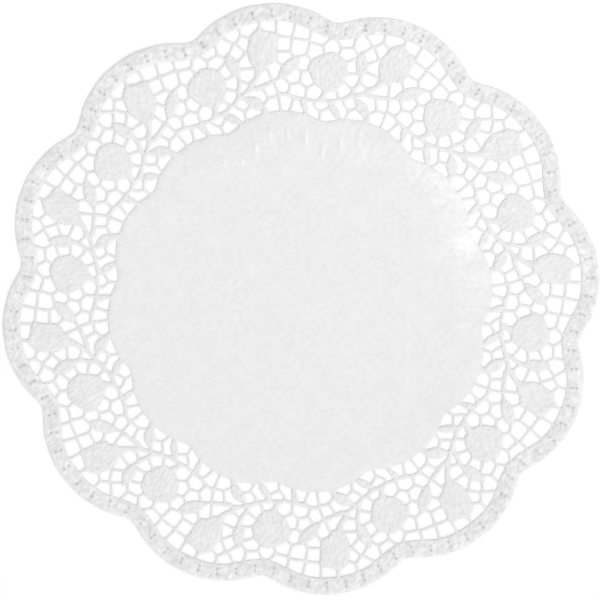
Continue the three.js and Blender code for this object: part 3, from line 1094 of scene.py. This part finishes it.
class Nodes:
    """A short way to write a material's nodes and their links."""

    def __init__(self, tree):
        self.tree = tree

    def add(self, kind, **settings):
        """A node. Settings are its properties, or inputs by name with _ for a space."""
        node = self.tree.nodes.new(kind)
        for key, value in settings.items():
            if hasattr(node, key):
                setattr(node, key, value)
            else:
                self.feed(node.inputs[key.replace("_", " ")], value)
        return node

    def feed(self, socket, value):
        if isinstance(value, bpy.types.NodeSocket):
            self.tree.links.new(value, socket)
        else:
            socket.default_value = value

    def operate(self, kind, operation, *values):
        """The outcome of an operation on its first inputs."""
        node = self.add(kind, operation=operation)
        for socket, value in zip(node.inputs, values):
            self.feed(socket, value)
        return node.outputs[0]

    def math(self, operation, first, second):
        return self.operate("ShaderNodeMath", operation, first, second)

    def vector(self, operation, *vectors):
        return self.operate("ShaderNodeVectorMath", operation, *vectors)

    def value(self, name):
        return self.add("ShaderNodeAttribute", attribute_name=name).outputs["Fac"]

    def uv(self, name):
        return self.add("ShaderNodeUVMap", uv_map=name).outputs["UV"]

    def noise(self, vector, scale, detail=2.0, roughness=0.5, share=1.0):
        """Noise about zero, times a share that may be a number or a socket."""
        node = self.add("ShaderNodeTexNoise", Vector=vector, Scale=scale, Detail=detail,
                        Roughness=roughness)
        about_zero = self.math("SUBTRACT", node.outputs["Fac"], 0.5)
        return self.math("MULTIPLY", about_zero, share)

    def bump(self, height, distance, below=None):
        """A bump on top of the one below it. A height of 1 is distance in millimetres."""
        node = self.add("ShaderNodeBump", Height=height, Distance=distance * MM, Strength=1.0)
        if below is not None:
            self.feed(node.inputs["Normal"], below)
        return node.outputs["Normal"]


def paper_normal(nodes, place):
    """Bumps of the paper, from the finest to the coarsest."""
    # fibres, and the crepe of the plain middle
    normal = nodes.bump(nodes.noise(place, FIBRE_SCALE, detail=3), FIBRE_HEIGHT)
    crepe = nodes.noise(place, CREPE_SCALE, roughness=0.6, share=nodes.value("crepe"))
    normal = nodes.bump(crepe, CREPE_HEIGHT, normal)

    # creases that run outward in the rim of the middle
    outward = nodes.vector("NORMALIZE", place)
    around = nodes.vector("MULTIPLY", outward, [CRINKLE_AROUND] * 3)
    along = nodes.vector("MULTIPLY", place, [CRINKLE_OUTWARD] * 3)
    spokes = nodes.vector("ADD", around, along)
    spoke = nodes.noise(spokes, 1.0, detail=1, share=nodes.value("crinkle"))
    normal = nodes.bump(spoke, CRINKLE_HEIGHT, normal)

    # texture of the flowers and leaves, drawn out along the petals and veins
    motif = nodes.vector("MULTIPLY", nodes.uv("motif"), STRIPE_SCALE)
    stripe = nodes.noise(motif, 1.0, detail=1, share=nodes.value("stripes"))
    normal = nodes.bump(stripe, STRIPE_HEIGHT, normal)

    # beads of the border
    bead = nodes.noise(nodes.uv("border"), BEAD_SCALE, detail=1, share=nodes.value("beads"))
    return nodes.bump(bead, BEAD_HEIGHT, normal)


def paper_colour(nodes, place):
    """The paper's colour with its painted shade and highlight, clouds and mottling."""
    fine = nodes.noise(place, MOTTLE_SCALE, detail=1)
    mottle = nodes.math("ADD", fine, nodes.noise(place, CLOUD_SCALE, share=CLOUD_SHARE))
    light = nodes.math("MULTIPLY", mottle, nodes.value("mottle"))
    # times the painted shade and highlight
    shade = nodes.math("MULTIPLY", nodes.math("ADD", light, 1.0), nodes.value("painted_light_tone"))
    colour = nodes.add("ShaderNodeVectorMath", operation="SCALE", Scale=shade)
    colour.inputs[0].default_value = PAPER_COLOUR
    return colour.outputs[0]


def paper_material():
    """White paper: crepe in the middle, stripes in flowers and leaves, beads in the border."""
    material = bpy.data.materials.new("paper")
    material.use_nodes = True
    tree = material.node_tree
    tree.nodes.clear()
    nodes = Nodes(tree)
    place = nodes.add("ShaderNodeTexCoord").outputs["Object"]
    change = nodes.noise(place, CREPE_SCALE, share=ROUGHNESS_CHANGE)
    shader = nodes.add(
        "ShaderNodeBsdfPrincipled",
        Base_Color=paper_colour(nodes, place),
        Roughness=nodes.math("ADD", change, PAPER_ROUGHNESS),
        Specular_IOR_Level=PAPER_SPECULAR,
        Normal=paper_normal(nodes, place),
    )
    nodes.add("ShaderNodeOutputMaterial", Surface=shader.outputs[0])
    return material


def add_object(name, data):
    thing = bpy.data.objects.new(name, data)
    bpy.context.collection.objects.link(thing)
    return thing


def make_doily():
    mesh, area = make_sheet()
    mesh.materials.append(paper_material())
    doily = add_object("paper_doily", mesh)
    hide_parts("doily")
    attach(doily, "root")


def make_camera():
    data = bpy.data.cameras.new("camera")
    data.lens = LENS
    data.sensor_width = SENSOR
    data.clip_end = CLIP_END
    camera = add_object("camera", data)
    camera.location = CAMERA_PLACE
    camera.rotation_euler = [np.radians(turn) for turn in CAMERA_TURN]
    bpy.context.scene.camera = camera


def floor_material():
    material = bpy.data.materials.new("floor")
    material.use_nodes = True
    shader = material.node_tree.nodes["Principled BSDF"]
    shader.inputs["Base Color"].default_value = FLOOR_COLOUR
    shader.inputs["Roughness"].default_value = FLOOR_ROUGHNESS
    shader.inputs["Specular IOR Level"].default_value = 0.0
    return material


def make_floor():
    half = FLOOR_HALF
    mesh = bpy.data.meshes.new("floor")
    corners = [(-half, -half, 0), (half, -half, 0), (half, half, 0), (-half, half, 0)]
    mesh.from_pydata(corners, [], [(0, 1, 2, 3)])
    mesh.materials.append(floor_material())
    floor = add_object("floor", mesh)


def facing(direction):
    """The turn that makes a light shine from a direction."""
    return Vector(direction).to_track_quat("Z", "Y").to_euler()


def make_key_light():
    """A soft light from the lower right of the view."""
    data = bpy.data.lights.new("key", "SUN")
    data.energy = KEY_STRENGTH
    data.angle = np.radians(KEY_SIZE)
    azimuth = np.radians(KEY_AZIMUTH)
    toward = (np.cos(azimuth), np.sin(azimuth), np.tan(np.radians(KEY_ELEVATION)))
    add_object("key", data).rotation_euler = facing(toward)


def make_side_light():
    """A weak light over the right of the view."""
    data = bpy.data.lights.new("side", "AREA")
    data.energy = SIDE_STRENGTH
    data.size = SIDE_SIZE
    side = add_object("side", data)
    side.location = SIDE_PLACE
    side.rotation_euler = facing(SIDE_PLACE)


def make_surround():
    """Even white light from all sides."""
    world = bpy.data.worlds.new("surround")
    world.use_nodes = True
    background = world.node_tree.nodes["Background"]
    background.inputs["Color"].default_value = (1, 1, 1, 1)
    background.inputs["Strength"].default_value = FILL_STRENGTH
    bpy.context.scene.world = world
    bpy.context.scene.view_settings.view_transform = "Standard"


make_doily()
make_camera()
make_floor()
make_key_light()
make_side_light()
make_surround()
